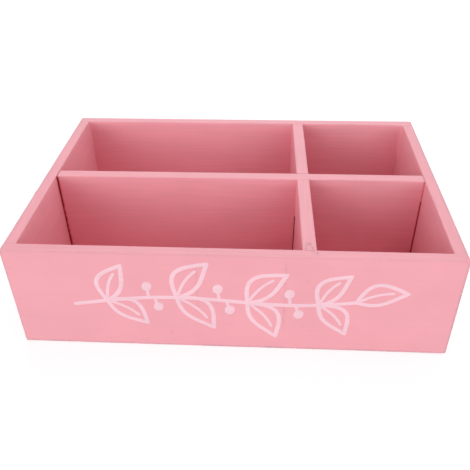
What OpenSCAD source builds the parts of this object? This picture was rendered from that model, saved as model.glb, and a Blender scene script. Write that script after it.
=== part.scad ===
// Open painted box with four compartments for cups, capsules and packets.
// Four boards butt together at the corners over a thin bottom panel that sits in a rabbet.
// Inside, a long divider and a cross divider halve into each other.
// Origin: centre of the underside. +X to the right, +Y to the back, +Z up.

/* [Box] */
// Width over the walls, left to right
box_w = 310; // [250:1:420]
// Depth over the walls, front to back
box_d = 210; // [160:1:300]
// Height from the underside to the rim
box_h = 85; // [65:1:140]
// Thickness of the four walls
wall_t = 9; // [7:0.5:14]
// Radius of the outer edges along the rim and the underside
edge_r = 1.25; // [0.5:0.25:1.5]
// Radius of the four upright outer corners, at least that of the outer edges
corner_r = 1.75; // [1.75:0.25:4]
// Radius of the rim's inner edge and of the dividers' upper edges
inner_r = 0.6; // [0.2:0.1:1.5]

/* [Bottom panel] */
// Thickness of the bottom panel, which is also the height of its rabbet
bottom_t = 4; // [3:0.5:8]
// Width of the rabbet under the walls
rabbet_w = 4.5; // [3:0.25:6]
// Corner radius of the rabbet, left by the cutter that goes round the glued frame
rabbet_r = 6; // [3:0.5:12]
// Gap between the bottom panel's edge and the rabbet
panel_gap = 0.3; // [0.1:0.1:0.8]

/* [Dividers] */
// Thickness of both dividers
divider_t = 9.5; // [6:0.5:14]
// Clear depth of the two back compartments, front to back
back_row_d = 91.25; // [50:0.25:110]
// Clear width of the two small compartments on the right
small_w = 90; // [50:1:120]
// Height above the underside at which the dividers halve into each other
lap_h = 49.5; // [25:0.5:58]
// Play of the cross divider in the long divider's slot, all of it on the left
lap_gap = 0.7; // [0.2:0.1:2]
// Play of the long divider in the cross divider's slot, on each side
lap_fit = 0.1; // [0.05:0.05:0.4]
// Clearance between the two slots' ends, so that both dividers stand on the bottom
lap_rise = 0.4; // [0.2:0.1:1.5]
// Gap between the long divider and the left side
end_gap_left = 1.1; // [0.2:0.1:3]
// Gap between the long divider and the right side
end_gap_right = 0.45; // [0.1:0.05:3]

/* [Brads] */
// Diameter of a brad's shank
brad_d = 1.2; // [0.9:0.1:1.8]
// Diameter of a brad's head
head_d = 2; // [1.9:0.1:3]
// Thickness of a brad's head
head_h = 0.7; // [0.4:0.1:1.2]
// Length of a brad's point
tip_h = 2; // [1:0.25:3]
// Diameter of the blunt end of the point
tip_d = 0.3; // [0.2:0.1:0.6]
// Length of the brads through the walls
wall_brad_l = 25; // [16:1:35]
// Length of the brads through the bottom panel
bottom_brad_l = 15; // [10:1:19]
// Depth to which the wall brads' heads are driven and filled over
wall_set = 1; // [0.5:0.1:2]
// Depth to which the bottom brads' heads are driven and left open
bottom_set = 0.3; // [0.1:0.1:1]
// Clearance round a brad in its hole
brad_fit = 0.02; // [0.01:0.01:0.05]
// Brads at each upright corner joint
corner_brads_n = 3; // [2:1:5]
// Distance of the outer corner brads from the rim and from the underside
corner_brad_edge = 15; // [10:1:25]
// Height of the lower divider brads above the underside
divider_brad_low = 24; // [22:1:30]
// Distance of the upper divider brads below the rim
divider_brad_drop = 20; // [10:1:30]
// Bottom brads along the front and along the back
bottom_brads_front_n = 4; // [2:1:8]
// Bottom brads along each side
bottom_brads_side_n = 3; // [2:1:6]
// Distance of the first and last bottom brads from the inner corners
bottom_brad_edge = 22; // [18:1:40]

/* [Hidden] */
$fn = 64;

// Clear size inside the four walls
inner_w = box_w - 2 * wall_t;
inner_d = box_d - 2 * wall_t;
// Place of each divider's middle plane
long_y = inner_d / 2 - back_row_d - divider_t / 2;
cross_x = inner_w / 2 - small_w - divider_t / 2;
// Height of both dividers, which stand on the bottom panel and end level with the rim
divider_h = box_h - bottom_t;
// Length of the long divider and place of its middle
long_l = inner_w - end_gap_left - end_gap_right;
long_x = (end_gap_left - end_gap_right) / 2;
// Outline of the rabbet
rabbet_out_w = inner_w + 2 * rabbet_w;
rabbet_out_d = inner_d + 2 * rabbet_w;
// Reach of a cutter past the face that it opens on
past = 1;

// Heights of the corner brads
corner_brad_step = (box_h - 2 * corner_brad_edge) / (corner_brads_n - 1);
corner_brad_zs = [for (i = [0:corner_brads_n - 1]) corner_brad_edge + i * corner_brad_step];
// Heights of the divider brads
divider_brad_zs = [divider_brad_low, box_h - divider_brad_drop];
// Places of the bottom brads along a wall of the given clear length
function bottom_brad_places(clear, n) =
    [for (i = [0:n - 1]) (clear - 2 * bottom_brad_edge) * (i / (n - 1) - 0.5)];

paint = "#f2a9b3";
steel = "#b9bcc0";

// Rectangle about the origin with round corners
module round_rect(w, h, r) {
    square([w - 2 * r, h], center = true);
    square([w, h - 2 * r], center = true);
    for (sx = [-1, 1]) {
        for (sy = [-1, 1]) {
            translate([sx * (w / 2 - r), sy * (h / 2 - r)]) circle(r = r);
        }
    }
}

// Upright corner of the outer form, with the same round as the rim and the underside
module corner_post() {
    rotate_extrude()
        intersection() {
            square([corner_r, box_h]);
            translate([0, box_h / 2]) round_rect(2 * corner_r, box_h, edge_r);
        }
}

// The box's outer form as one block, with its outer edges and corners eased
module outer_form() {
    translate([corner_r - box_w / 2, 0, box_h / 2])
        rotate([90, 0, 90])
            linear_extrude(box_w - 2 * corner_r) round_rect(box_d, box_h, edge_r);
    translate([0, box_d / 2 - corner_r, box_h / 2])
        rotate([90, 0, 0])
            linear_extrude(box_d - 2 * corner_r) round_rect(box_w, box_h, edge_r);
    for (sx = [-1, 1]) {
        for (sy = [-1, 1]) {
            translate([sx * (box_w / 2 - corner_r), sy * (box_d / 2 - corner_r), 0]) corner_post();
        }
    }
}

// The space that the cutter leaves for the bottom panel under the glued frame
module rabbet() {
    translate([0, 0, -past])
        linear_extrude(bottom_t + past) round_rect(rabbet_out_w, rabbet_out_d, rabbet_r);
}

// Waste outside a rounded edge that runs along X, on a board that lies below and before it
module edge_waste(length) {
    difference() {
        translate([-length / 2, -inner_r, -inner_r])
            cube([length, inner_r + past, inner_r + past]);
        translate([-length / 2 - past, -inner_r, -inner_r])
            rotate([0, 90, 0])
                cylinder(r = inner_r, h = length + 2 * past);
    }
}

// Brad that points along +Z with the outer face of its head at the origin
module brad(length) {
    rotate_extrude()
        polygon([
            [0, 0],
            [head_d / 2, 0],
            [head_d / 2, head_h],
            [brad_d / 2, head_h],
            [brad_d / 2, length - tip_h],
            [tip_d / 2, length],
            [0, length]
        ]);
}

// Hole for such a brad, open for the given depth above its head
module brad_hole(length, depth) {
    rotate_extrude()
        polygon([
            [0, -depth - past],
            [head_d / 2 + brad_fit, -depth - past],
            [head_d / 2 + brad_fit, head_h],
            [brad_d / 2 + brad_fit, head_h],
            [brad_d / 2 + brad_fit, length - tip_h],
            [tip_d / 2 + brad_fit, length],
            [0, length]
        ]);
}

// Places what belongs to each corner brad: on the front and the back, into the ends of the sides
module at_corner_brads() {
    for (turn = [0, 180]) {
        for (sx = [-1, 1]) {
            for (z = corner_brad_zs) {
                rotate([0, 0, turn])
                    translate([sx * (box_w - wall_t) / 2, -box_d / 2 + wall_set, z])
                        rotate([-90, 0, 0]) children();
            }
        }
    }
}

// Places what belongs to each brad through the left and right sides into the long divider
module at_long_divider_brads() {
    for (sx = [-1, 1]) {
        for (z = divider_brad_zs) {
            translate([sx * (box_w / 2 - wall_set), long_y, z])
                rotate([0, -90 * sx, 0]) children();
        }
    }
}

// Places what belongs to each brad through the front and the back into the cross divider
module at_cross_divider_brads() {
    for (sy = [-1, 1]) {
        for (z = divider_brad_zs) {
            translate([cross_x, sy * (box_d / 2 - wall_set), z])
                rotate([90 * sy, 0, 0]) children();
        }
    }
}

// Places what belongs to each brad up through the bottom panel into the walls
module at_bottom_brads() {
    for (sy = [-1, 1]) {
        for (x = bottom_brad_places(inner_w, bottom_brads_front_n)) {
            translate([x, sy * (inner_d + rabbet_w) / 2, bottom_set]) children();
        }
    }
    for (sx = [-1, 1]) {
        for (y = bottom_brad_places(inner_d, bottom_brads_side_n)) {
            translate([sx * (inner_w + rabbet_w) / 2, y, bottom_set]) children();
        }
    }
}

// Holes for all brads in the frame and the dividers
module all_brad_holes() {
    at_corner_brads() brad_hole(wall_brad_l, wall_set);
    at_long_divider_brads() brad_hole(wall_brad_l, wall_set);
    at_cross_divider_brads() brad_hole(wall_brad_l, wall_set);
    at_bottom_brads() brad_hole(bottom_brad_l, bottom_set);
}

// Front board, across the ends of both sides; turned half round it is the back board
module end_board() {
    intersection() {
        outer_form();
        translate([-box_w / 2, -box_d / 2, 0]) cube([box_w, wall_t, box_h]);
    }
}

// Left board, between the front and the back; turned half round it is the right board
module side_board() {
    intersection() {
        outer_form();
        translate([-box_w / 2, -inner_d / 2, 0]) cube([wall_t, inner_d, box_h]);
    }
}

module front_panel() {
    color(paint)
        difference() {
            end_board();
            rabbet();
            translate([0, -inner_d / 2, box_h]) edge_waste(inner_w);
            all_brad_holes();
        }
}

module back_panel() {
    color(paint)
        difference() {
            rotate([0, 0, 180]) end_board();
            rabbet();
            rotate([0, 0, 180]) translate([0, -inner_d / 2, box_h]) edge_waste(inner_w);
            all_brad_holes();
        }
}

module left_side() {
    color(paint)
        difference() {
            side_board();
            rabbet();
            rotate([0, 0, -90]) translate([0, -inner_w / 2, box_h]) edge_waste(inner_d);
            all_brad_holes();
        }
}

module right_side() {
    color(paint)
        difference() {
            rotate([0, 0, 180]) side_board();
            rabbet();
            rotate([0, 0, 90]) translate([0, -inner_w / 2, box_h]) edge_waste(inner_d);
            all_brad_holes();
        }
}

module bottom_panel() {
    color(paint)
        difference() {
            linear_extrude(bottom_t)
                round_rect(
                    rabbet_out_w - 2 * panel_gap,
                    rabbet_out_d - 2 * panel_gap,
                    rabbet_r - panel_gap
                );
            at_bottom_brads() brad_hole(bottom_brad_l, bottom_set);
        }
}

// Divider of the given length along X, standing on the bottom with its upper edges eased
module divider_board(length) {
    translate([-length / 2, 0, bottom_t])
        rotate([90, 0, 90])
            linear_extrude(length) {
                translate([-divider_t / 2, 0]) square([divider_t, divider_h - inner_r]);
                translate([-divider_t / 2 + inner_r, 0]) square([divider_t - 2 * inner_r, divider_h]);
                for (s = [-1, 1]) {
                    translate([s * (divider_t / 2 - inner_r), divider_h - inner_r])
                        circle(r = inner_r);
                }
            }
}

// Slotted from below, with the loose side of the slot on the left of the cross divider
module long_divider() {
    color(paint)
        difference() {
            translate([long_x, long_y, 0]) divider_board(long_l);
            translate([cross_x - divider_t / 2 - lap_gap, long_y - divider_t, bottom_t - past])
                cube([divider_t + lap_gap, 2 * divider_t, lap_h - bottom_t + past + lap_rise]);
            at_long_divider_brads() brad_hole(wall_brad_l, wall_set);
        }
}

// Slotted from above, so that the long divider runs through it along the top
module cross_divider() {
    color(paint)
        difference() {
            translate([cross_x, 0, 0]) rotate([0, 0, 90]) divider_board(inner_d);
            translate([cross_x - divider_t, long_y - divider_t / 2 - lap_fit, lap_h])
                cube([2 * divider_t, divider_t + 2 * lap_fit, box_h]);
            at_cross_divider_brads() brad_hole(wall_brad_l, wall_set);
        }
}

module corner_brads() {
    color(steel) at_corner_brads() brad(wall_brad_l);
}

module divider_brads() {
    color(steel) {
        at_long_divider_brads() brad(wall_brad_l);
        at_cross_divider_brads() brad(wall_brad_l);
    }
}

module bottom_brads() {
    color(steel) at_bottom_brads() brad(bottom_brad_l);
}

// Filler from a wall brad's head out to the surface
module filler_plug() {
    translate([0, 0, -wall_set - past])
        cylinder(d = head_d + 2 * brad_fit, h = wall_set + past);
}

module filler_plugs() {
    color(paint)
        intersection() {
            outer_form();
            union() {
                at_corner_brads() filler_plug();
                at_long_divider_brads() filler_plug();
                at_cross_divider_brads() filler_plug();
            }
        }
}

front_panel();
back_panel();
left_side();
right_side();
bottom_panel();
long_divider();
cross_divider();
corner_brads();
divider_brads();
bottom_brads();
filler_plugs();
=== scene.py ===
"""Looks of a pink painted wooden box with four compartments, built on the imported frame."""

import math

import bpy
import numpy as np
from mathutils import Matrix, Vector


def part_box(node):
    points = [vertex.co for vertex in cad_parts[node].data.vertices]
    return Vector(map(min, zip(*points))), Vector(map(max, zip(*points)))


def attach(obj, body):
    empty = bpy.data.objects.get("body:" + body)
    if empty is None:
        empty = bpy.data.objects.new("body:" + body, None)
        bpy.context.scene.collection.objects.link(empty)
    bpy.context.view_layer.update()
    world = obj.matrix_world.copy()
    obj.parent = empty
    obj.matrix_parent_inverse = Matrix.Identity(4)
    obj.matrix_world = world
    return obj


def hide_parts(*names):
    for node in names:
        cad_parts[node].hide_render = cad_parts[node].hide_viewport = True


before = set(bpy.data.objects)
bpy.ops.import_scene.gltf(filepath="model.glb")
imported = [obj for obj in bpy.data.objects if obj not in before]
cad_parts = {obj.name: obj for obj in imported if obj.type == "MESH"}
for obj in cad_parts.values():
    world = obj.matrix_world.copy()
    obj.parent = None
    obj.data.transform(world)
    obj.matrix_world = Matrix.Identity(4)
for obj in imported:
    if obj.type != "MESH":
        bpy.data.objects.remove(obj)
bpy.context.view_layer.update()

MM = 0.001  # one millimetre in Blender's metres


def mm_box(node):
    """Lowest and highest corner of a CAD node, in millimetres."""
    low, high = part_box(node)
    return np.array(low) / MM, np.array(high) / MM


# Sizes in millimetres, read from the frame
front_low, front_high = mm_box("front_panel")
_, back_high = mm_box("back_panel")
_, bottom_high = mm_box("bottom_panel")
long_low, long_high = mm_box("long_divider")
cross_low, cross_high = mm_box("cross_divider")
box_w = front_high[0] - front_low[0]
box_d = back_high[1] - front_low[1]
box_h = front_high[2]
wall_t = front_high[1] - front_low[1]
inner_w = box_w - 2 * wall_t
inner_d = box_d - 2 * wall_t
bottom_t = bottom_high[2]
cross_x = (cross_low[0] + cross_high[0]) / 2
long_y = (long_low[1] + long_high[1]) / 2
divider_t = cross_high[0] - cross_low[0]

# Sizes in millimetres that the frame's boxes don't show
EDGE_R = 1.25  # outer edges along the rim and the underside
CORNER_R = 1.75  # upright outer corners
INNER_R = 0.6  # rim's inner edge and the dividers' upper edges
LAP_EDGE_R = 0.25  # the same edge where paint fills the crossing of the dividers
LAP_REACH = 0.3  # how far beside the crossing
PANEL_GAP = 0.3  # round the bottom panel
RABBET_R = 6.0  # corners of the rabbet under the walls
LAP_H = 49.5  # where the dividers halve into each other
LAP_GAP = 0.7  # loose side of the long divider's slot
LAP_RISE = 0.4  # how far the slot runs above LAP_H
LAP_TOP = LAP_H + LAP_RISE
LAP_FIT = 0.1  # play of the long divider in the cross divider's slot
CORNER_BRAD_ZS = (15.0, 42.5, 70.0)
DIVIDER_BRAD_ZS = (24.0, box_h - 20.0)

rabbet_w = bottom_high[0] + PANEL_GAP - inner_w / 2
rabbet_line = inner_d / 2 + rabbet_w
# How far along a rabbet's corner arc the rabbet still lies outside the compartments
RABBET_REACH = math.sqrt(RABBET_R ** 2 - (RABBET_R - rabbet_w) ** 2)

TOUCH = 0.01  # a point nearer than this lies on a line or face
PAST = 1  # how far the box of a gap runs past a face
PROBE = 0.05  # a board this near in front of a quad covers it
TINY = 1e-9
TINY_AREA = 1e-12

# Paint: unevenness of the coat in millimetres, always inward from the CAD faces
FRONT_SMOOTHNESS = 0.75  # 1 hides the brush lines
OUTER_SMOOTHNESS = 0.5
COAT_BASE = 0.1  # inset of the outer faces, so that the relief stays inside the CAD box
CLEARANCE = 0.005  # least depth of the boards' paint inside the CAD box
SPOT_CLEARANCE = 0.002
SPRIG_CLEARANCE = 0.004
SWELL = 0.035  # height of the broad waves
RIPPLE = 0.02
RIDGE = 0.018  # height of the brush ridges
RIDGE_WIDTH = 3.2
RIDGE_LENGTH = 70.0
CHIP = 0.10  # depth of the hollows along the outer edges
CRUMB = 0.03
WEAR_WIDTH = 1.2  # how far the outer edges' wear reaches
SEAM_DEPTH = 0.09  # over the butt joints
SEAM_WIDTH = 0.5
BRAD_DIMPLE = 0.05  # depth of the paint over a filled brad
DIMPLE_WIDTH = 1.3

# Grid lines of the boards' meshes, in millimetres
GRID = 1.25
THICK_GRID = 1.2 * GRID  # across a board's thickness
DENT_GRID = 0.45  # where small dents lie
SEAM_TICK = 0.4  # beside the butt joints
BRAD_TICKS = (-1.6, -0.8, 0.0, 0.8, 1.6)
ROUND_TICKS = (0.0, 0.3, 0.55, 0.8, 1.0)  # over a rounded edge, as shares of its radius
FLOOR_TICKS = (0.1, 0.25, 0.5, 1.0)  # over the paint along the floor
RABBET_TICKS = (0, 0.35, 0.6, 0.8, 0.92, 1)  # over the rabbet's corner arcs

# Paint gathered in the inner corners, in millimetres
FILLET_R = 0.7
FLOOR_FILLET_R = 0.8
FILLET_SWING = 0.25  # how much the radius varies over the height
FILLET_SHARE = 0.293  # nearer to the corner than this the other board's paint covers it
FILLET_TICKS = (0.15, 0.35, 0.6, 0.9, 1.3, 1.8, 2.4, 3.2)
THICK_CORNER_R = {(-1, 1): 1.4, (1, 1): 3.2}  # upper half of the two back corners
FRONT_CORNER_R = 1.3 * FILLET_R
THICK_ZS = (48, 66)  # heights over which the corners' paint gets thicker
STREAK = 0.3  # what runs of paint add or take, as a share of a fillet's height
STREAK_SIZE = (1.3, 1.3, 22)
SAME_FACE = 0.2  # a corner nearer than this to a face belongs to it

# Paint at the ends of the long divider, in millimetres
LEFT_ZS = (bottom_t, 40, 80, box_h)
LEFT_BUILD = (0.3, 0.4, 0.5, 0.6)  # thickness at those heights
RIGHT_ZS = (bottom_t, 30, 55, 70)
RIGHT_BUILD = (-0.1, 0.15, 0.35, 0.5)
LUMP = 0.15
LUMP_SIZE = (3.0, 3.0, 5.0)
BRIDGE_BUILD = 1.15  # where paint bridges the left gap
BRIDGE_ZS = (18, 56)
BRIDGE_SIZE = (2.5, 2.5, 2.6)
BRIDGE_FROM = 0.2  # noise above which there is a bridge
GAP_REACH = 1.3  # how far from the walls the gaps get painted shade
LEFT_GAP_TOP = box_h - 1.0
RIGHT_GAP_TOP = 66.0

# How far the dividers stand off at their ends, in millimetres
CROSS_LEAN = 1.1  # to the right in front, to the left behind
LONG_LEAN = 1.0  # to the front at the left end

# Small marks in the paint, in millimetres
DRIP_X = 137.0  # on the upper front edge
DRIP_WIDTH = 2.4
BUMP_Y = -30.5  # on the upper left edge
BUMP_WIDTH = 2.0
DROP_H = 0.42  # height of the drip and the bump
DROP_REACH = 1.4  # how far they come down from the rim and in from the face
DENT_DEPTH = 0.16
DENT_SIZE = (0.45, 1.2, 0.5)
# Painted shade in the dents: its strength and size
DENT_SHADE = 1.4
DENT_SHADE_SIZE = (0.6, 1.6)
# Dents in the upper edge by the cross divider's front end
DENTS = ((49.3, -90.2), (50.8, -89.6), (52.2, -89.9), (48.8, -94.2), (53.2, -93.6), (54.6, -98.6),
         (57.0, -99.6))
# Rub marks on the front: place along X, half width, lower and upper end, strength
SCUFFS = ((-23.2, 0.8, 36.0, 80.0, 0.35), (37.0, 0.7, 19.0, 81.0, 0.4), (-44.0, 0.9, 12.5, 15.5, 0.9))
SCUFF_FADE = 3  # over which a rub mark fades at its ends
SEAM_GREY = 0.3  # strength of the grey in the seams
FRONT_WEAR = 0.35  # the front panel's edges are less worn
SIDE_LIGHT_SHARE = 0.3  # the sides and the cross divider have less of the painted light of the inner tone
CORNER_SHADE_REACH = 19.0  # how far the painted shade of the inner corners reaches
CORNER_SHADE_FADE = 12.0  # it fades over this height below the rim
OUTLINE_GREY = 1.0  # strength of the grey lines along the outer edges
FOOT_GREY = (1.2, 2.9)  # height over which the lower one fades
RIM_GREY = (0.5, 1.8)  # distance from the upper outer edge, on the sides and behind
CORNER_GREY = (1.0, 2.3)  # distance from the corner over which the upright ones fade

# Filler spots over the brads, in millimetres
SPOT_R = 1.5
SPOT_SIDES = 20
SPOT_WOBBLE = 0.08
SPOT_WOBBLE_SIZE = (0.8, 0.8, 9)
SPOT_RINGS = ((1.0, -0.03), (0.97, 0.004), (0.6, 0.012), (0.2, 0.014))  # share of radius, rise

# Painted sprig on the front, in millimetres
SPRIG_X = (-110.0, 86.0)
STEM_Z = 41
STEM_CLIMB = 8
STEM_WAVE = 4
STEM_PHASE = 0.4
STEM_POINTS = 60
STEM_STEP = 0.01  # over which the stem's direction is taken
STROKE_WIDTH = 3.4
STROKE_ENDS = (0.02, 0.35, 0.7, 0.93)  # rings over a stroke's round ends
RIB_WIDTH = 2.4
STROKE_SECTION = ((-1, -0.05), (-0.8, 0.045), (0, 0.075), (0.8, 0.045), (1, -0.05), (0, -0.05))
LEAF_PAIRS = ((0.12, 34.0), (0.37, 36.0), (0.62, 36.0), (0.87, 34.0))
LEAF_LEAN = 0.93  # angle between a leaf and the stem
LEAN_SWING = 0.12
LEAN_PACE = 7.3
LENGTH_SWING = 0.05
LENGTH_PACE = 5.1
LEAF_WIDTH = 0.25  # half a leaf's width against its length
LEAF_BELLY = 0.85  # below 1 the widest place lies nearer to the stem
LEAF_TAPER = 1.15
LEAF_BEND = 0.10
LEAF_POINTS = 22
RIB_SPAN = slice(2, 16)  # points of the midrib that are painted
TIP_LEAF = 35.0
TIP_TURN = 0.25
CHERRY_WIDTH = 7.5
CHERRY_DAB = (0.3, 1.2)  # the short stroke that makes a cherry
CHERRY_POINTS = 4
STALK_POINTS = 8
CHERRIES = ((0.27, -1.0, 9.5), (0.29, 2.0, -9.0), (0.52, -1.0, 9.5), (0.545, 2.0, -9.0),
            (0.77, -1.0, 9.5), (0.79, 2.0, -9.0))  # place along the stem and offset from it


# Noise

def hashed(ix, iy, iz, seed):
    """Repeatable numbers from -1 to 1, one for each lattice point."""
    n = (ix * 73856093) ^ (iy * 19349663) ^ (iz * 83492791) ^ (seed * 2654435761)
    n = n & 0xFFFFFFFF
    n = ((n ^ (n >> 13)) * 1274126177) & 0xFFFFFFFF
    n = n ^ (n >> 16)
    return (n & 0xFFFF) / 32767.5 - 1.0


def noise(points, size, seed):
    """Smooth noise from -1 to 1 over points in mm; size is its wavelength along X, Y and Z."""
    q = points / np.asarray(size, float)
    base = np.floor(q).astype(np.int64)
    t = q - base
    t = t * t * (3 - 2 * t)
    total = np.zeros(len(points))
    for dx in (0, 1):
        for dy in (0, 1):
            for dz in (0, 1):
                wx = t[:, 0] if dx else 1 - t[:, 0]
                wy = t[:, 1] if dy else 1 - t[:, 1]
                wz = t[:, 2] if dz else 1 - t[:, 2]
                total += wx * wy * wz * hashed(
                    base[:, 0] + dx, base[:, 1] + dy, base[:, 2] + dz, seed)
    return total


def patches(points, mean, swing, size, seed):
    """Strength from 0 to 1 that varies about its mean from place to place."""
    return np.clip(mean + swing * noise(points, size, seed), 0, 1)


# Grids and meshes

def ticks(low, high, step, near=()):
    """Grid lines from low to high at most a step apart, with the given places among them."""
    places = sorted({round(float(v), 4) for v in (low, high, *near) if low <= v <= high})
    lines = [places[0]]
    for a, b in zip(places, places[1:]):
        parts = max(1, math.ceil((b - a) / step - 1e-6))
        lines += [a + (b - a) * i / parts for i in range(1, parts + 1)]
    return np.array(lines)


def round_ticks(face, inward, radius):
    """Grid lines over the zone that a rounded edge takes, inward from a face."""
    return [face + inward * radius * s for s in ROUND_TICKS]


def grid_shell(lines, gaps):
    """Outer quads of a block cut along grid lines, less the cells whose middle is in a gap."""
    middles = [(v[1:] + v[:-1]) / 2 for v in lines]
    full = np.ones([len(m) for m in middles], bool)
    for low, high in gaps:
        inside = [(m > a) & (m < b) for m, a, b in zip(middles, low, high)]
        full[np.ix_(*inside)] = False
    count = [len(v) for v in lines]
    padded = np.pad(full, 1)
    quads = []
    for axis in range(3):
        here = np.moveaxis(padded, axis, 0)[:, 1:-1, 1:-1]
        for side, cells in ((1, here[:-1] & ~here[1:]), (-1, ~here[:-1] & here[1:])):
            i, j, k = np.nonzero(cells)
            ring = [(j, k), (j + 1, k), (j + 1, k + 1), (j, k + 1)]
            if (side < 0) != (axis == 1):
                ring.reverse()
            corners = []
            for a, b in ring:
                index = [None, None, None]
                index[axis] = i
                others = [n for n in range(3) if n != axis]
                index[others[0]] = a
                index[others[1]] = b
                corners.append((index[0] * count[1] + index[1]) * count[2] + index[2])
            quads.append(np.stack(corners, 1))
    quads = np.concatenate(quads)
    used, flat = np.unique(quads, return_inverse=True)
    quads = flat.reshape(quads.shape)
    ix, rest = np.divmod(used, count[1] * count[2])
    iy, iz = np.divmod(rest, count[2])
    points = np.stack([lines[0][ix], lines[1][iy], lines[2][iz]], 1)
    return points, quads


def quad_normals(points, quads):
    """Area-weighted normals of quads."""
    a, b, c, d = (points[quads[:, i]] for i in range(4))
    return np.cross(c - a, d - b) / 2


def point_normals(points, quads, shown):
    """Normals of the points, made by the shown quads only; zero where none meets a point."""
    n = quad_normals(points, quads[shown])
    total = np.zeros_like(points)
    for i in range(4):
        np.add.at(total, quads[shown][:, i], n)
    size = np.linalg.norm(total, axis=1, keepdims=True)
    return np.where(size > TINY_AREA, total / np.maximum(size, TINY_AREA), 0)


def make_object(name, points, faces):
    """Smooth mesh object from points in millimetres."""
    mesh = bpy.data.meshes.new(name)
    mesh.from_pydata((np.asarray(points) * MM).tolist(), [], [list(map(int, f)) for f in faces])
    mesh.validate()
    mesh.update()
    mesh.polygons.foreach_set("use_smooth", [True] * len(mesh.polygons))
    obj = bpy.data.objects.new(name, mesh)
    bpy.context.scene.collection.objects.link(obj)
    return obj


def add_attribute(obj, name, values):
    """One number per point for the materials."""
    layer = obj.data.attributes.new(name, "FLOAT", "POINT")
    layer.data.foreach_set("value", np.asarray(values, np.float32))


# The form of the boards

def outer_depth(points):
    """Distance behind the nearest outer face."""
    return np.minimum(box_w / 2 - np.abs(points[:, 0]), box_d / 2 - np.abs(points[:, 1]))


def to_arc(u, v):
    """Draws the square corner zone of two offsets in to a quarter disc."""
    size = np.hypot(u, v)
    share = np.where(size > 0, np.maximum(u, v) / np.maximum(size, TINY), 1.0)
    return u * share, v * share


def ease_outer(points):
    """Rounds the outer corners, the rim and the underside of the whole box."""
    p = points.copy()
    flat = np.array([box_w / 2 - CORNER_R, box_d / 2 - CORNER_R])
    sign = np.sign(p[:, :2])
    over = np.abs(p[:, :2]) - flat
    corner = (over > 0).all(1)
    u, v = to_arc(over[:, 0], over[:, 1])
    arc = sign * (flat + np.stack([u, v], 1))
    p[corner, :2] = arc[corner]
    reach = over.max(1)
    depth = np.where(corner, CORNER_R - reach, outer_depth(points))
    at_end = box_w / 2 - np.abs(points[:, 0]) < box_d / 2 - np.abs(points[:, 1])
    out = np.where(at_end[:, None], sign * [1.0, 0.0], sign * [0.0, 1.0])
    turned = sign * np.stack([u, v], 1) / np.maximum(reach, TINY)[:, None]
    out[corner] = turned[corner]
    for face, way in ((box_h, 1), (0.0, -1)):
        a = EDGE_R - depth
        b = EDGE_R - np.abs(face - points[:, 2])
        near = (a > 0) & (b > 0)
        a2, b2 = to_arc(a, b)
        p[near, :2] += (out * (a2 - a)[:, None])[near]
        p[near, 2] += (way * (b2 - b))[near]
    return p


def ease_upper_edge(points, source, axis, face, way, radius, where):
    """Rounds one inner upper edge. The face lies square to the axis and looks the given way."""
    a = radius - way * (face - source[:, axis])
    b = radius - (box_h - source[:, 2])
    near = (a > 0) & (b > 0) & where
    a2, b2 = to_arc(a, b)
    points[near, axis] += (way * (a2 - a))[near]
    points[near, 2] += (b2 - b)[near]


def bend_rabbet(points, across):
    """Rounds the corners of the rabbet, seen from below, on a board with that thickness axis."""
    p = points.copy()
    along = 1 - across
    clear = np.array([inner_w, inner_d]) / 2
    centre = clear + rabbet_w - RABBET_R
    run = np.abs(points[:, along]) - centre[along]
    at_line = np.abs(np.abs(points[:, across]) - clear[across] - rabbet_w) < TOUCH
    on = at_line & (points[:, 2] < bottom_t + TOUCH) & (run > 0) & (run < RABBET_REACH + TOUCH)
    drop = np.sqrt(np.clip(RABBET_R ** 2 - run ** 2, 0, None))
    place = np.maximum(centre[across] + drop, clear[across])
    p[on, across] = (np.sign(points[:, across]) * place)[on]
    return p


BOARD_BOXES = {
    name: mm_box(name)
    for name in ("front_panel", "back_panel", "left_side", "right_side", "bottom_panel",
                 "long_divider", "cross_divider")
}


def shown_quads(name, points, quads):
    """True for the quads that no other board covers."""
    middle = points[quads].mean(1)
    n = quad_normals(points, quads)
    n /= np.maximum(np.linalg.norm(n, axis=1, keepdims=True), TINY_AREA)
    probe = middle + PROBE * n
    shown = np.ones(len(quads), bool)
    for other, (low, high) in BOARD_BOXES.items():
        if other != name:
            shown &= ~((probe > low) & (probe < high)).all(1)
    return shown


def brad_places():
    """Middles of the filled wall brads, as a point on the outer face and its axis."""
    places = []
    for sy in (-1, 1):
        for z in CORNER_BRAD_ZS:
            for sx in (-1, 1):
                places.append(((sx * (box_w - wall_t) / 2, sy * box_d / 2, z), 1))
        for z in DIVIDER_BRAD_ZS:
            places.append(((cross_x, sy * box_d / 2, z), 1))
    for sx in (-1, 1):
        for z in DIVIDER_BRAD_ZS:
            places.append(((sx * box_w / 2, long_y, z), 0))
    return places


BRADS = brad_places()


def bell(distance, width):
    """1 at no distance, falling softly to 0."""
    return np.exp(-(distance / width) ** 2)


def smooth_rise(low, high, value):
    """0 up to low, then a soft rise to 1 at high."""
    t = np.clip((value - low) / (high - low), 0, 1)
    return t * t * (3 - 2 * t)


def edge_closeness(points):
    """1 at the outer edges, falling to 0 within a few millimetres."""
    dx = box_w / 2 - np.abs(points[:, 0])
    dy = box_d / 2 - np.abs(points[:, 1])
    dz = np.minimum(box_h - points[:, 2], points[:, 2])
    near = np.sort(np.stack([dx, dy, dz], 1), axis=1)
    return np.exp(-(near[:, 0] ** 2 + near[:, 1] ** 2) / (2 * WEAR_WIDTH ** 2))


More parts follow.
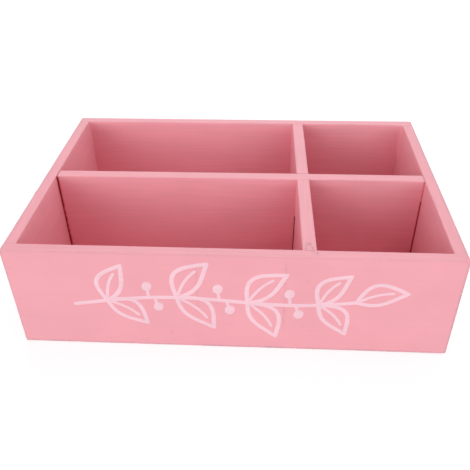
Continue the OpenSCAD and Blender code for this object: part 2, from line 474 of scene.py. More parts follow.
def relief(points, grain_axis):
    """Depth of the painted surface below the CAD face, in millimetres."""
    ridge_size = np.full(3, RIDGE_WIDTH)
    ridge_size[grain_axis] = RIDGE_LENGTH
    h = SWELL * noise(points, size=(34, 34, 34), seed=3)
    h += RIPPLE * noise(points, size=(11, 11, 11), seed=5)
    h += RIDGE * noise(points, ridge_size, seed=7)
    chips = np.clip(noise(points, size=(9, 9, 9), seed=11), 0, 1)
    crumbs = noise(points, size=(3, 3, 3), seed=13)
    h += edge_closeness(points) * (CHIP * chips + CRUMB * crumbs)
    h += SEAM_DEPTH * seam_share(points)
    for place, across in BRADS:
        d = points - np.array(place)
        level = np.abs(d[:, across]) < EDGE_R
        d[:, across] = 0
        h += np.where(level, BRAD_DIMPLE * bell(np.linalg.norm(d, axis=1), DIMPLE_WIDTH), 0)
    return h - paint_lumps(points)


def seam_share(points):
    """1 along the butt joints between the end panels and the sides, broken here and there."""
    seam = np.abs(np.abs(points[:, 1]) - inner_d / 2)
    beyond = np.abs(points[:, 0]) > inner_w / 2 + SEAM_WIDTH
    broken = patches(points, mean=0.6, swing=0.7, size=(6, 6, 9), seed=61)
    return np.where(beyond, bell(seam, SEAM_WIDTH) * broken, 0)


def paint_lumps(points):
    """Height of the drip and the bump on the upper edges, less the dents in the rim."""
    x, y, z = points.T
    at_edge = bell(box_h - z, DROP_REACH)
    drip = DROP_H * bell(x - DRIP_X, DRIP_WIDTH) * bell(y + box_d / 2, DROP_REACH) * at_edge
    bump = DROP_H * bell(y - BUMP_Y, BUMP_WIDTH) * bell(x + box_w / 2, DROP_REACH) * at_edge
    width, length, reach = DENT_SIZE
    dents = np.zeros(len(points))
    for dent_x, dent_y in DENTS:
        at_place = DENT_DEPTH * bell(x - dent_x, width) * bell(y - dent_y, length)
        dents += at_place * bell(box_h - z, reach)
    return drip + bump - dents


# Paint in the corners and gaps, their painted shade, and the grey marks

def askew(axis, at):
    """How far a divider lies off, along X for the cross divider (0) and along Y for the long one."""
    if axis == 0:
        return -CROSS_LEAN * at / (inner_d / 2)
    return -LONG_LEAN * np.maximum(cross_x - at, 0) / (cross_x + inner_w / 2)


def settle(name, points):
    """Sets the dividers a little askew, as in the photo."""
    if name == "cross_divider":
        points[:, 0] += askew(0, points[:, 1])
    if name == "long_divider":
        points[:, 1] += askew(1, points[:, 0])


def inner_corners():
    """Upright corners of the compartments: place, and the way in which the compartment lies."""
    sides_x = ((-inner_w / 2, 1), (cross_low[0], -1), (cross_high[0], 1), (inner_w / 2, -1))
    sides_y = ((-inner_d / 2, 1), (long_low[1], -1), (long_high[1], 1), (inner_d / 2, -1))
    return [((x, y), (way_x, way_y)) for x, way_x in sides_x for y, way_y in sides_y]


def corner_radius(place, z):
    """Radius of the paint in a corner over its height. The gaps of the dividers stay open."""
    x, y = place
    at_wall_x = abs(x) > inner_w / 2 - TOUCH
    at_wall_y = abs(y) > inner_d / 2 - TOUCH
    line = np.stack([z * 0 + x, z * 0 + y, z], 1)
    radius = FILLET_R * (1 + FILLET_SWING * noise(line, size=(9, 9, 9), seed=41))
    if at_wall_x and at_wall_y:
        thick = THICK_CORNER_R.get((np.sign(x), np.sign(y)), FRONT_CORNER_R)
        return radius + (thick - FILLET_R) * smooth_rise(*THICK_ZS, z)
    if at_wall_x:
        return radius * 0
    if abs(x - cross_low[0]) < TOUCH and not at_wall_y:
        return np.where(z > LAP_TOP, radius, 0)
    return radius


def fillet_height(distance, radius):
    """How far a fillet stands off a face at a distance from its corner."""
    rest = np.clip(radius - distance, 0, radius)
    return radius - np.sqrt(np.maximum(radius ** 2 - rest ** 2, 0))


def add_fillets(points, source, axis, face, way):
    """Rounds off the corners of one compartment face, which lies square to axis 0 or 1."""
    other = 1 - axis
    z = source[:, 2]
    depth = way * (face - source[:, axis])
    on = (depth > -TOUCH) & (depth < INNER_R + TOUCH) & (z > bottom_t - TOUCH)
    lift = np.where(on & (z < bottom_t + FLOOR_FILLET_R),
                    fillet_height(z - bottom_t, np.full(len(z), FLOOR_FILLET_R)), 0)
    covered = np.ones(len(z), bool)
    for place, ways in inner_corners():
        if abs(place[axis] - face) > SAME_FACE or ways[axis] != way:
            continue
        at_divider = abs(place[other]) < (inner_w, inner_d)[other] / 2 - TOUCH
        edge = place[other] + (askew(other, face) if at_divider else 0)
        run = (source[:, other] - edge) * ways[other]
        radius = corner_radius(place, z)
        near = on & (run > -TOUCH) & (run < radius)
        rise = fillet_height(np.maximum(run, FILLET_SHARE * radius), radius)
        rise *= 1 + STREAK * noise(source, STREAK_SIZE, seed=43) * (run > FILLET_SHARE * radius)
        lift = np.where(near, np.maximum(lift, rise), lift)
    for low, high in clear_spans(face, other):
        covered &= (source[:, other] < low - TOUCH) | (source[:, other] > high + TOUCH)
    points[:, axis] += way * np.where(covered, 0, lift)


def clear_spans(face, other):
    """Lengths of a compartment face that nothing covers, along the other axis."""
    half = (inner_w, inner_d)[other] / 2
    low, high = ((cross_low, cross_high), (long_low, long_high))[other]
    shift = askew(other, face)
    return (-half, low[other] + shift), (high[other] + shift, half)


def fill_end_gaps(points, source):
    """Paint on the long divider's ends thins the left gap and closes the right one at the rim."""
    z = source[:, 2]
    left = np.abs(source[:, 0] - long_low[0]) < TOUCH
    right = np.abs(source[:, 0] - long_high[0]) < TOUCH
    build = np.interp(z, LEFT_ZS, LEFT_BUILD) + LUMP * noise(source, LUMP_SIZE, seed=31)
    bridge = noise(source, BRIDGE_SIZE, seed=33) > BRIDGE_FROM
    bridge &= (z > BRIDGE_ZS[0]) & (z < BRIDGE_ZS[1])
    build = np.where(bridge, BRIDGE_BUILD, build)
    points[:, 0] -= np.where(left, build, 0)
    points[:, 0] += np.where(right, np.interp(z, RIGHT_ZS, RIGHT_BUILD), 0)


def gap_shade_share(source):
    """Painted shade: 1 on the faces that look into the open gaps of the dividers, 0 elsewhere."""
    x, y, z = source.T
    at_long = np.abs(y - long_y - askew(1, x)) < divider_t / 2 + TOUCH
    at_end = np.abs(x) > inner_w / 2 - GAP_REACH
    inside_walls = np.abs(x) < inner_w / 2 + TOUCH
    in_end = at_long & at_end & inside_walls & (z < np.where(x < 0, LEFT_GAP_TOP, RIGHT_GAP_TOP))
    in_lap = at_long & (x > cross_low[0] - LAP_GAP - TOUCH) & (x < cross_low[0] + TOUCH)
    in_lap &= z < LAP_TOP + TOUCH
    return (in_end | in_lap).astype(float)


def corner_shade_share(source):
    """Painted shade towards the upright inner corners, from 0 to 1."""
    distance = np.min([np.hypot(source[:, 0] - x, source[:, 1] - y)
                       for (x, y), _ in inner_corners()], axis=0)
    below_rim = smooth_rise(0, CORNER_SHADE_FADE, box_h - source[:, 2])
    return np.exp(-distance / CORNER_SHADE_REACH) * below_rim


def outline_grey(source):
    """Strength of the grey lines along the lower, upper and upright outer edges."""
    x, y, z = source.T
    patchy = patches(source, mean=0.8, swing=0.4, size=(16, 16, 9), seed=71)
    from_corner = (box_w - 2 * np.abs(x) + box_d - 2 * np.abs(y)) / 2
    foot = 1 - smooth_rise(*FOOT_GREY, z)
    corner = 1 - smooth_rise(*CORNER_GREY, from_corner)
    from_rim = outer_depth(source) + box_h - z
    off_front = (y > -box_d / 2 + wall_t) | (box_w / 2 - np.abs(x) < CORNER_R)
    rim = (1 - smooth_rise(*RIM_GREY, from_rim)) * off_front
    outer = outer_depth(source) < wall_t / 2
    return OUTLINE_GREY * patchy * np.maximum.reduce([foot, corner, rim]) * outer


def scuff_and_shade_share(source):
    """Strength of the grey marks: scuffs on the front, lines along the outer edges, painted shade in
    the dents, and the seams.
    """
    x, y, z = source.T
    share = np.zeros(len(x))
    for place, half, low, high, strength in SCUFFS:
        along = smooth_rise(low - SCUFF_FADE, low + SCUFF_FADE, z)
        along *= 1 - smooth_rise(high - 2 * SCUFF_FADE, high + SCUFF_FADE, z)
        share = np.maximum(share, strength * bell(x - place, half) * along)
    share *= y < -box_d / 2 + TOUCH
    share = np.maximum(share, outline_grey(source))
    width, length = DENT_SHADE_SIZE
    for dent_x, dent_y in DENTS:
        dent_shade = DENT_SHADE * bell(x - dent_x, width) * bell(y - dent_y, length) * (z > box_h - TOUCH)
        share = np.maximum(share, dent_shade)
    return np.maximum(share, SEAM_GREY * seam_share(source))


def board(name, lines, gaps, across, edges, coat):
    """One painted board on its CAD node: grid, rounded edges, uneven coat, wear marks, and painted
    light and shade.
    """
    source, quads = grid_shell(lines, gaps)
    shown = shown_quads(name, source, quads)
    points = bend_rabbet(ease_outer(source), across)
    for edge in edges:
        ease_upper_edge(points, source, *edge(source))
    normals = point_normals(points, quads, shown)
    for edge in edges:
        add_fillets(points, source, *edge(source)[:3])
    if name == "long_divider":
        fill_end_gaps(points, source)
    depth = relief(points, 1 - across) + coat(source)
    points = points - normals * depth[:, None]
    reach = np.array([box_w / 2, box_d / 2, box_h]) - CLEARANCE
    points = np.clip(points, [-reach[0], -reach[1], CLEARANCE], reach)
    settle(name, points)
    obj = make_object(name + "_painted", points, quads)
    front = name == "front_panel"
    lengthwise = across == 1
    enclosed = outer_depth(source) > wall_t - TOUCH
    inside = enclosed | (box_h - source[:, 2] < INNER_R)
    within = enclosed & (source[:, 2] < box_h - INNER_R)
    add_attribute(obj, "edge", (FRONT_WEAR if front else 1.0) * edge_closeness(source))
    smoothness = FRONT_SMOOTHNESS if front else OUTER_SMOOTHNESS
    add_attribute(obj, "smooth", np.where(inside, 0.0, smoothness))
    # Painted light: a lighter tone on the inner faces, weaker on the sides and the cross divider
    add_attribute(obj, "inner", within * (1.0 if lengthwise else SIDE_LIGHT_SHARE))
    # Painted shade in the upright inner corners, on the faces square to Y only
    add_attribute(obj, "corner_shade", within * (corner_shade_share(source) if lengthwise else 0.0))
    # Painted shade on the faces that look into the gaps
    add_attribute(obj, "gap", gap_shade_share(source))
    # Scuffs, grey lines along the outer edges, seams, and painted shade in the dents
    add_attribute(obj, "scuff_and_shade", scuff_and_shade_share(source))
    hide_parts(name)
    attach(obj, "root")
    return obj


def wall_coat(source):
    """The outer faces are inset a little, so that nothing stands out of the CAD box."""
    low = np.abs(source[:, 2]) < TOUCH
    top = np.abs(source[:, 2] - box_h) < EDGE_R
    outer = outer_depth(source) < EDGE_R + TOUCH
    return np.where(outer | low | top, COAT_BASE, 0.0)


def inner_edge(axis, face, way, along, clear):
    """Edge of the rim that runs only along the clear length inside the walls."""
    def edge(source):
        where = np.abs(source[:, along]) < clear / 2 - TOUCH
        return axis, face, way, np.full(len(source), INNER_R), where
    return edge


def divider_edge(axis, face, way, along, crossing):
    """Upper edge of a divider, filled with paint where the other divider crosses."""
    def edge(source):
        apart = np.abs(source[:, along] - crossing) - divider_t / 2
        radius = np.where(apart < LAP_REACH, LAP_EDGE_R, INNER_R)
        return axis, face, way, radius, np.ones(len(source), bool)
    return edge


def plain_edge(axis, face, way):
    """Upper edge that runs over a board's whole length."""
    def edge(source):
        return axis, face, way, np.full(len(source), INNER_R), np.ones(len(source), bool)
    return edge


def height_ticks(*near):
    """Grid lines up a wall."""
    marks = [bottom_t]
    for z in (*CORNER_BRAD_ZS, *DIVIDER_BRAD_ZS):
        marks += around(z)
    marks += round_ticks(0, 1, EDGE_R) + round_ticks(box_h, -1, EDGE_R)
    marks += round_ticks(box_h, -1, INNER_R) + floor_ticks()
    return ticks(0, box_h, GRID, [*marks, *near])


def floor_ticks():
    """Grid lines over the paint along the floor."""
    return [bottom_t + FLOOR_FILLET_R * s for s in FLOOR_TICKS]


def fillet_ticks(place, way):
    """Grid lines over the paint in an upright corner."""
    return [place + way * s for s in FILLET_TICKS]


def around(place):
    """Grid lines close round a filled brad."""
    return [place + s for s in BRAD_TICKS]


def rabbet_ticks(centre):
    """Grid lines over the rabbet's corner arcs at both ends of a board."""
    return [s * (centre + RABBET_REACH * t) for s in (-1, 1) for t in RABBET_TICKS]


def end_panel(name, side):
    """Front panel for side -1, back panel for side 1."""
    outer = side * box_d / 2
    inner = side * inner_d / 2
    centre = inner_w / 2 + rabbet_w - RABBET_R
    shift = askew(0, inner)
    xs = ticks(-box_w / 2, box_w / 2, GRID, [
        *round_ticks(-box_w / 2, 1, CORNER_R), *round_ticks(box_w / 2, -1, CORNER_R),
        *around(-(box_w - wall_t) / 2), *around((box_w - wall_t) / 2), *around(cross_x),
        *fillet_ticks(cross_low[0] + shift, -1), *fillet_ticks(cross_high[0] + shift, 1),
        cross_low[0] + shift, cross_high[0] + shift, -inner_w / 2, inner_w / 2,
        *fillet_ticks(-inner_w / 2, 1), *fillet_ticks(inner_w / 2, -1), *rabbet_ticks(centre)])
    ys = ticks(min(outer, inner), max(outer, inner), THICK_GRID, [
        *round_ticks(outer, -side, CORNER_R), *round_ticks(outer, -side, EDGE_R),
        side * rabbet_line, inner + side * SEAM_TICK, *round_ticks(inner, side, INNER_R)])
    reach = centre + RABBET_REACH
    low, high = sorted((side * rabbet_line, inner - side * PAST))
    gap = ((-reach, low, -PAST), (reach, high, bottom_t))
    return board(name, (xs, ys, height_ticks()), [gap], 1,
                 [inner_edge(1, inner, -side, 0, inner_w)], wall_coat)


def side_panel(name, side):
    """Left side for -1, right side for 1."""
    outer = side * box_w / 2
    inner = side * inner_w / 2
    line = side * (inner_w / 2 + rabbet_w)
    ys = ticks(-inner_d / 2, inner_d / 2, GRID, [
        *fillet_ticks(-inner_d / 2, 1), *fillet_ticks(inner_d / 2, -1), *around(long_y),
        long_low[1] + askew(1, inner), long_high[1] + askew(1, inner),
        *rabbet_ticks(inner_d / 2 + rabbet_w - RABBET_R)])
    xs = ticks(min(outer, inner), max(outer, inner), THICK_GRID, [
        *round_ticks(outer, -side, EDGE_R), line, *round_ticks(inner, side, INNER_R)])
    low, high = sorted((line, inner - side * PAST))
    gap = ((low, -box_d, -PAST), (high, box_d, bottom_t))
    return board(name, (xs, ys, height_ticks()), [gap], 0,
                 [inner_edge(0, inner, -side, 1, inner_d)], wall_coat)


def rim_coat(source):
    """The dividers end level with the rim, and share its inset."""
    return np.where(np.abs(source[:, 2] - box_h) < INNER_R + TOUCH, COAT_BASE, 0.0)


def long_divider():
    """Runs from side to side and is slotted from below."""
    slot = (cross_low[0] - LAP_GAP, cross_high[0])
    xs = ticks(long_low[0], long_high[0], GRID, [
        *slot, cross_low[0], *fillet_ticks(cross_low[0], -1), *fillet_ticks(cross_high[0], 1)])
    ys = ticks(long_low[1], long_high[1], THICK_GRID, [
        *round_ticks(long_low[1], 1, INNER_R), *round_ticks(long_high[1], -1, INNER_R),
        long_low[1] + LAP_EDGE_R, long_high[1] - LAP_EDGE_R])
    zs = ticks(bottom_t, box_h, GRID, [
        LAP_TOP, LAP_TOP + LAP_FIT, box_h - LAP_EDGE_R, *floor_ticks(),
        *round_ticks(box_h, -1, INNER_R)])
    gap = ((slot[0], -box_d, -PAST), (slot[1], box_d, LAP_TOP))
    return board("long_divider", (xs, ys, zs), [gap], 1, [
        divider_edge(1, long_low[1], -1, 0, cross_x),
        divider_edge(1, long_high[1], 1, 0, cross_x)], rim_coat)


def cross_divider():
    """Runs from front to back and is slotted from above."""
    slot = (long_low[1] - LAP_FIT, long_high[1] + LAP_FIT)
    xs = ticks(cross_low[0], cross_high[0], DENT_GRID, [
        *round_ticks(cross_low[0], 1, INNER_R), *round_ticks(cross_high[0], -1, INNER_R)])
    ys = ticks(cross_low[1], cross_high[1], GRID, [
        *slot, *fillet_ticks(cross_low[1], 1), *fillet_ticks(long_low[1], -1),
        *fillet_ticks(long_high[1], 1), *fillet_ticks(cross_high[1], -1)])
    zs = ticks(bottom_t, box_h, GRID, [
        LAP_H, LAP_TOP, LAP_TOP + LAP_FIT, *floor_ticks(),
        *round_ticks(box_h, -1, INNER_R)])
    gap = ((-box_w, slot[0], LAP_H), (box_w, slot[1], box_h + PAST))
    return board("cross_divider", (xs, ys, zs), [gap], 0, [
        plain_edge(0, cross_low[0], -1), plain_edge(0, cross_high[0], 1)], rim_coat)


def coat_depth(points, grain_axis):
    """Depth of the painted outer faces below the CAD faces."""
    return np.maximum(relief(points, grain_axis) + COAT_BASE, CLEARANCE)


def filler_spots():
    """Round spots of filler over the sunk brads, level with the paint in its dimples."""
    turns = np.linspace(0, 2 * math.pi, SPOT_SIDES, endpoint=False)
    points = []
    faces = []
    for (x, y, z), across in BRADS:
        along = 1 - across
        way = np.sign((x, y)[across])
        start = sum(len(p) for p in points)
        rings = []
        outline = np.stack([np.cos(turns) + x, np.sin(turns) + y, turns * 0 + z], 1)
        wobble = 1 + SPOT_WOBBLE * noise(outline, SPOT_WOBBLE_SIZE, seed=51)
        for share, rise in SPOT_RINGS:
            ring = np.tile([x, y, z], (SPOT_SIDES, 1)).astype(float)
            ring[:, along] += SPOT_R * share * wobble * np.cos(turns)
            ring[:, 2] += SPOT_R * share * wobble * np.sin(turns)
            ring[:, across] -= way * np.maximum(coat_depth(ring, along) - rise, SPOT_CLEARANCE)
            rings.append(ring)
        points.append(np.concatenate(rings))
        faces += tube_faces(len(rings), SPOT_SIDES, start, way * (-1 if across else 1) > 0)
    spots = make_object("filler_spots", np.concatenate(points), faces)
    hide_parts("filler_plugs")
    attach(spots, "root")
    return spots


def tube_faces(count, sides, start, turned=False, closed=False):
    """Quads between rings of points, with a cap on both ends unless the tube is closed."""
    faces = []
    last = count if closed else count - 1
    for i in range(last):
        a = start + i * sides
        b = start + (i + 1) % count * sides
        for j in range(sides):
            k = (j + 1) % sides
            faces.append((a + j, a + k, b + k, b + j))
    if not closed:
        faces.append(tuple(start + j for j in reversed(range(sides))))
        faces.append(tuple(start + (count - 1) * sides + j for j in range(sides)))
    return [tuple(reversed(f)) for f in faces] if turned else faces


# The painted sprig's strokes

def stem_line(t):
    """Stem of the sprig over t from 0 to 1, as X and Z on the front."""
    t = np.asarray(t, float)
    x = SPRIG_X[0] + (SPRIG_X[1] - SPRIG_X[0]) * t
    z = STEM_Z + STEM_CLIMB * t + STEM_WAVE * np.sin(2 * math.pi * t - STEM_PHASE)
    return np.stack([x, z], -1)


def leaf_lines(foot, turn, length):
    """Pointed leaf: its outline and its midrib."""
    t = np.linspace(0, 1, LEAF_POINTS)
    half = length * LEAF_WIDTH * np.sin(math.pi * t ** LEAF_BELLY) ** LEAF_TAPER
    bend = LEAF_BEND * length * np.sin(math.pi * t)
    upper = np.stack([length * t, bend + half], 1)
    lower = np.stack([length * t, bend - half], 1)
    outline = np.concatenate([upper, lower[-2:0:-1]])
    rib = np.stack([length * t, bend], 1)[RIB_SPAN]
    spin = np.array([[math.cos(turn), math.sin(turn)], [-math.sin(turn), math.cos(turn)]])
    return outline @ spin + foot, rib @ spin + foot


def stroke(line, width, closed):
    """One brush stroke lying on the front face: rings of points and their faces."""
    line = np.asarray(line, float)
    ahead = np.roll(line, -1, 0) - np.roll(line, 1, 0)
    if not closed:
        ahead[0] = line[1] - line[0]
        ahead[-1] = line[-1] - line[-2]
    ahead /= np.linalg.norm(ahead, axis=1, keepdims=True)
    half = np.full(len(line), width / 2)
    place = line
    if not closed:
        run = np.array(STROKE_ENDS)
        over = (1 - run) * width / 2
        share = np.sqrt(1 - (1 - run) ** 2)
        place = np.concatenate([line[0] - ahead[0] * over[:, None], line,
                                line[-1] + ahead[-1] * over[::-1, None]])
        half = np.concatenate([share * width / 2, half, share[::-1] * width / 2])
        tips = [np.tile(ahead[end], (len(run), 1)) for end in (0, -1)]
        ahead = np.concatenate([tips[0], ahead, tips[1]])
    side = np.stack([-ahead[:, 1], ahead[:, 0]], 1)
    rings = []
    for offset, rise in STROKE_SECTION:
        spot = place + side * (half * offset)[:, None]
        points = np.stack([spot[:, 0], np.full(len(spot), -box_d / 2), spot[:, 1]], 1)
        points[:, 1] += np.maximum(coat_depth(points, 0) - rise, SPRIG_CLEARANCE)
        rings.append(points)
    return np.stack(rings, 1).reshape(-1, 3), len(place)


def leaves():
    """Foot, direction and length of each leaf, with the one at the tip last."""
    places = []
    for i, (t, length) in enumerate(LEAF_PAIRS):
        ahead = stem_line(t + STEM_STEP) - stem_line(t - STEM_STEP)
        turn = math.atan2(ahead[1], ahead[0])
        for side in (-1, 1):
            lean = LEAF_LEAN * (1 + LEAN_SWING * math.sin(LEAN_PACE * i + 2 * side))
            size = length * (1 + LENGTH_SWING * math.sin(LENGTH_PACE * i + 3 * side))
            places.append((stem_line(t), turn + side * lean, size))
    return [*places, (stem_line(1.0), TIP_TURN, TIP_LEAF)]


def painted_sprig():
    """Coffee sprig with pairs of leaves and cherries, painted on the front by hand."""
    strokes = [(stem_line(np.linspace(0, 1, STEM_POINTS)), STROKE_WIDTH, False)]
    for leaf in leaves():
        outline, rib = leaf_lines(*leaf)
        strokes += [(outline, STROKE_WIDTH, True), (rib, RIB_WIDTH, False)]
    for t, offset_x, offset_z in CHERRIES:
        foot = stem_line(t)
        middle = foot + np.array([offset_x, offset_z])
        stalk = np.linspace(foot, middle, STALK_POINTS)
        cherry = np.linspace(middle, middle + np.array(CHERRY_DAB), CHERRY_POINTS)
        strokes += [(stalk, RIB_WIDTH, False), (cherry, CHERRY_WIDTH, False)]
    points = []
    faces = []
    for line, width, closed in strokes:
        start = sum(len(p) for p in points)
        rings, count = stroke(line, width, closed)
        points.append(rings)
        faces += tube_faces(count, len(STROKE_SECTION), start, False, closed)
    sprig = make_object("painted_sprig", np.concatenate(points), faces)
    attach(sprig, "root")
    return sprig


# Materials

PINK = (0.90, 0.39, 0.445, 1.0)
LIT_INNER_PINK = (0.92, 0.425, 0.485, 1.0)  # painted light: a lighter tone inside the compartments
CORNER_SHADE_TONE = (0.93, 0.78, 0.81, 1.0)  # painted shade in the inner corners
PALE_PINK = (0.95, 0.61, 0.69, 1.0)  # the painted sprig
THIN_PAINT = (0.76, 0.40, 0.44, 1.0)  # where edges are rubbed
SCUFF_AND_SHADE_GREY = (0.52, 0.27, 0.33, 1.0)  # grey of the scuffs and edge lines, and painted shade in the dents
GAP_SHADE = (0.55, 0.02, 0.04, 1.0)  # painted shade in the gaps
EDGE_WEAR = 0.75
PAINT_SPECULAR = 0.3
PAINT_ROUGHNESS = (0.40, 0.56)
BRUSH_WIDTH = 1.1  # of one brush line, in millimetres
BRUSH_LENGTH = 55.0
LINE_TONES = (0.94, 1.03)  # darkest and lightest brush lines
CLOUD_TONES = (0.975, 1.025)
CLOUD_SCALE = 28.0
NOISE_SPAN = (0.3, 0.7)  # values that a noise texture mostly gives
WEAR_SPAN = (0.42, 0.62)  # values over which the specks of wear set in
WEAR_SHARE = (0.15, 1.0)
LINE_DEPTH = 0.06  # height of the brush lines' bump, in millimetres
LINE_STRENGTH = 0.6
LINE_LOSS = -0.5  # on smooth paint
SPECK_DEPTH = 0.03
SPECK_STRENGTH = 0.5
SPECK_SCALE = 900.0
WIRE_DARK = (0.42, 0.42, 0.43, 1)
WIRE_BRIGHT = (0.72, 0.72, 0.74, 1)
WIRE_ROUGHNESS = (0.25, 0.5)
WIRE_SCALE = 1800.0
NODE_STEP = 180  # between the shader nodes as they are laid out
NODE_ROOM = 40
MIX_SOCKETS = {"FLOAT": (2, 3, 0), "RGBA": (6, 7, 2)}  # a Mix node's two entries and its result


def node(tree, kind, **values):
    """Shader node; values are its properties, or its inputs where it has no such property."""
    n = tree.nodes.new(kind)
    n.location.x = NODE_STEP * (len(tree.nodes) - NODE_ROOM)
    for key, value in values.items():
        if hasattr(n, key):
            setattr(n, key, value)
        else:
            feed(tree, n.inputs[key.replace("_", " ")], value)
    return n


def feed(tree, entry, value):
    """Links an output to an input, or gives the input a plain value."""
    if isinstance(value, bpy.types.NodeSocket):
        tree.links.new(value, entry)
    else:
        entry.default_value = value


def maths(tree, operation, *values):
    """Result of a Math node on the given values."""
    n = node(tree, "ShaderNodeMath", operation=operation)
    for entry, value in zip(n.inputs, values):
        feed(tree, entry, value)
    return n.outputs["Value"]


def map_range(tree, value, source, target):
    """Value mapped from one span to another."""
    n = node(tree, "ShaderNodeMapRange", Value=value, From_Min=source[0], From_Max=source[1],
             To_Min=target[0], To_Max=target[1])
    return n.outputs["Result"]


def mixed(tree, share, first, second, way="MIX", kind="RGBA"):
    """Mix of two colours, or of two numbers if the kind is FLOAT."""
    n = node(tree, "ShaderNodeMix", data_type=kind, blend_type=way, Factor=share)
    a, b, result = MIX_SOCKETS[kind]
    feed(tree, n.inputs[a], first)
    feed(tree, n.inputs[b], second)
    return n.outputs[result]


def noise_map(tree, coords, scale, detail, roughness):
    """Noise texture over the given coordinates."""
    n = node(tree, "ShaderNodeTexNoise", Vector=coords, Scale=scale, Detail=detail,
             Roughness=roughness)
    return n.outputs["Fac"]


def new_material(name):
    """Material with its node tree and its Principled shader's inputs."""
    mat = bpy.data.materials.new(name)
    mat.use_nodes = True
    return mat, mat.node_tree, mat.node_tree.nodes["Principled BSDF"].inputs


def painted(name, colour, grain_axis):
    """Satin paint over wood: grain and brush lines, clouds, thin paint on edges, scuffs; painted light
    inside, painted shade in corners, dents and gaps.
    """
    mat, tree, entries = new_material(name)
    entries["Specular IOR Level"].default_value = PAINT_SPECULAR
    coords = node(tree, "ShaderNodeTexCoord").outputs["Object"]
    marks = {}
    for key in ("edge", "smooth", "gap", "scuff_and_shade", "inner", "corner_shade"):
        marks[key] = node(tree, "ShaderNodeAttribute", attribute_name=key).outputs["Fac"]

    stretch = [BRUSH_WIDTH] * 3
    stretch[grain_axis] = BRUSH_LENGTH
    brushed = node(tree, "ShaderNodeMapping", Vector=coords, Scale=[1 / (s * MM) for s in stretch])
    lines = noise_map(tree, brushed.outputs["Vector"], scale=1.0, detail=4.0, roughness=0.55)
    broad = noise_map(tree, coords, CLOUD_SCALE, detail=3.0, roughness=0.5)
    fine = noise_map(tree, coords, SPECK_SCALE, detail=3.0, roughness=0.6)

    line_tone = map_range(tree, lines, NOISE_SPAN, LINE_TONES)
    line_tone = mixed(tree, marks["smooth"], line_tone, (1, 1, 1, 1))
    cloud_tone = map_range(tree, broad, NOISE_SPAN, CLOUD_TONES)
    # Painted light on the inner faces
    tint = mixed(tree, marks["inner"], colour, LIT_INNER_PINK)
    # Painted shade in the upright inner corners
    tint = mixed(tree, marks["corner_shade"], tint, CORNER_SHADE_TONE, "MULTIPLY")
    tint = mixed(tree, 1.0, tint, line_tone, "MULTIPLY")
    tint = mixed(tree, 1.0, tint, cloud_tone, "MULTIPLY")
    specks = map_range(tree, fine, WEAR_SPAN, WEAR_SHARE)
    worn = maths(tree, "MULTIPLY", maths(tree, "MULTIPLY", marks["edge"], specks), EDGE_WEAR)
    tint = mixed(tree, worn, tint, THIN_PAINT)
    # Scuffs and edge lines, and painted shade in the dents
    scuffed_and_shaded = maths(tree, "MULTIPLY", marks["scuff_and_shade"], specks)
    tint = mixed(tree, scuffed_and_shaded, tint, SCUFF_AND_SHADE_GREY)
    # Painted shade in the gaps
    tint = mixed(tree, marks["gap"], tint, GAP_SHADE)
    feed(tree, entries["Base Color"], tint)

    roughness = map_range(tree, broad, (0.0, 1.0), PAINT_ROUGHNESS)
    feed(tree, entries["Roughness"], maths(tree, "MAXIMUM", roughness, marks["gap"]))

    strength = maths(tree, "MULTIPLY_ADD", marks["smooth"], LINE_LOSS, LINE_STRENGTH)
    line_bump = node(tree, "ShaderNodeBump", Distance=LINE_DEPTH * MM, Strength=strength,
                     Height=lines)
    fine_bump = node(tree, "ShaderNodeBump", Distance=SPECK_DEPTH * MM, Strength=SPECK_STRENGTH,
                     Height=fine, Normal=line_bump.outputs["Normal"])
    feed(tree, entries["Normal"], fine_bump.outputs["Normal"])
    return mat


def steel():
    """Bright drawn wire, finely mottled."""
    mat, tree, entries = new_material("brad_steel")
    entries["Metallic"].default_value = 1.0
    coords = node(tree, "ShaderNodeTexCoord").outputs["Object"]
    spots = noise_map(tree, coords, WIRE_SCALE, detail=4.0, roughness=0.5)
    feed(tree, entries["Base Color"], mixed(tree, spots, WIRE_DARK, WIRE_BRIGHT))
    feed(tree, entries["Roughness"], map_range(tree, spots, (0.0, 1.0), WIRE_ROUGHNESS))
    return mat


def dress(obj, material):
    """Gives an object one material."""
    obj.data.materials.clear()
    obj.data.materials.append(material)


# Camera, light and floor

# Soft lights: degrees from the front towards +X, degrees above the horizon, and strength
SOFT_LIGHTS = (
    (45, 8, 2.5),
    (-45, 8, 4.4),
    (180, 32, 3.55),
    (90, 58, 2.0),
    (-90, 58, 0.95),
)
LIGHT_FOCUS = 10.0  # a higher power makes each light narrower
FLOOR_DROP = 0.0001  # metres under the box
# The floor as it lights the box, and as seen. Its glow keeps the box's own shadow off its foot.
FLOOR_TONES = ((0.35, 0.35, 0.35, 1), (0.4, 0.4, 0.4, 1))
FLOOR_GLOW = (0.5, 0.7)


def make_camera():
    """The photograph's view, fitted to the box's corners."""
    place = Vector((23.359, -404.797, 319.68)) * MM
    right = Vector((0.99833545, 0.05607217, -0.01349964))
    down = Vector((0.02195102, -0.58586452, -0.81011167))
    ahead = Vector((-0.05333368, 0.80846687, -0.58612016))
    data = bpy.data.cameras.new("camera")
    data.sensor_width = 36.0
    data.lens = 44.7904
    data.clip_start = 0.01
    data.clip_end = 20.0
    cam = bpy.data.objects.new("camera", data)
    turn = Matrix((right, -down, -ahead)).transposed()
    cam.matrix_world = Matrix.Translation(place) @ turn.to_4x4()
    bpy.context.scene.collection.objects.link(cam)
    bpy.context.scene.camera = cam


def seen_share(tree):
    """1 for rays that show the surroundings: from the camera, in gloss and through glass."""
    rays = node(tree, "ShaderNodeLightPath").outputs
    share = maths(tree, "MAXIMUM", rays["Is Camera Ray"], rays["Is Glossy Ray"])
    return maths(tree, "MAXIMUM", share, rays["Is Transmission Ray"])


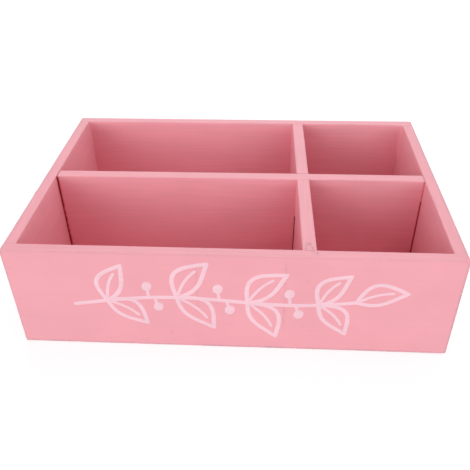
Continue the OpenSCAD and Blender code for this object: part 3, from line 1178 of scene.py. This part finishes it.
def make_world():
    """White room lit by a few wide soft lights. The camera sees plain white."""
    world = bpy.data.worlds.new("world")
    world.use_nodes = True
    tree = world.node_tree
    entries = tree.nodes["Background"].inputs
    entries["Color"].default_value = (1, 1, 1, 1)
    coords = node(tree, "ShaderNodeTexCoord").outputs["Generated"]
    total = 0.0
    for azimuth, height, level in SOFT_LIGHTS:
        turn = math.radians(azimuth)
        rise = math.radians(height)
        way = (math.sin(turn) * math.cos(rise), -math.cos(turn) * math.cos(rise), math.sin(rise))
        facing = node(tree, "ShaderNodeVectorMath", operation="DOT_PRODUCT")
        feed(tree, facing.inputs[0], coords)
        feed(tree, facing.inputs[1], way)
        above = maths(tree, "MAXIMUM", facing.outputs["Value"], 0.0)
        lobe = maths(tree, "POWER", above, LIGHT_FOCUS)
        total = maths(tree, "MULTIPLY_ADD", lobe, level, total)
    feed(tree, entries["Strength"], mixed(tree, seen_share(tree), total, 1.0, kind="FLOAT"))
    bpy.context.scene.world = world


def make_floor():
    """Wide pale floor just under the box."""
    size = 6.0
    mesh = bpy.data.meshes.new("floor")
    mesh.from_pydata([(-size, -size, 0), (size, -size, 0), (size, size, 0), (-size, size, 0)],
                     [], [(0, 1, 2, 3)])
    floor = bpy.data.objects.new("floor", mesh)
    floor.location.z = -FLOOR_DROP
    bpy.context.scene.collection.objects.link(floor)
    mat, tree, entries = new_material("floor")
    entries["Roughness"].default_value = 0.9
    entries["Specular IOR Level"].default_value = 0.0
    entries["Emission Color"].default_value = (1, 1, 1, 1)
    seen = seen_share(tree)
    feed(tree, entries["Base Color"], mixed(tree, seen, *FLOOR_TONES))
    feed(tree, entries["Emission Strength"], map_range(tree, seen, (0.0, 1.0), FLOOR_GLOW))
    dress(floor, mat)


make_camera()
make_world()
make_floor()

paint_x = painted("pink_paint_x", PINK, 0)
paint_y = painted("pink_paint_y", PINK, 1)
wire = steel()

dress(end_panel("front_panel", -1), paint_x)
dress(end_panel("back_panel", 1), paint_x)
dress(side_panel("left_side", -1), paint_y)
dress(side_panel("right_side", 1), paint_y)
dress(long_divider(), paint_x)
dress(cross_divider(), paint_y)
dress(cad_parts["bottom_panel"], paint_x)
dress(filler_spots(), paint_x)
dress(painted_sprig(), painted("sprig_paint", PALE_PINK, 0))
for name in ("corner_brads", "divider_brads", "bottom_brads"):
    dress(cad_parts[name], wire)

bpy.context.scene.view_settings.view_transform = "Standard"
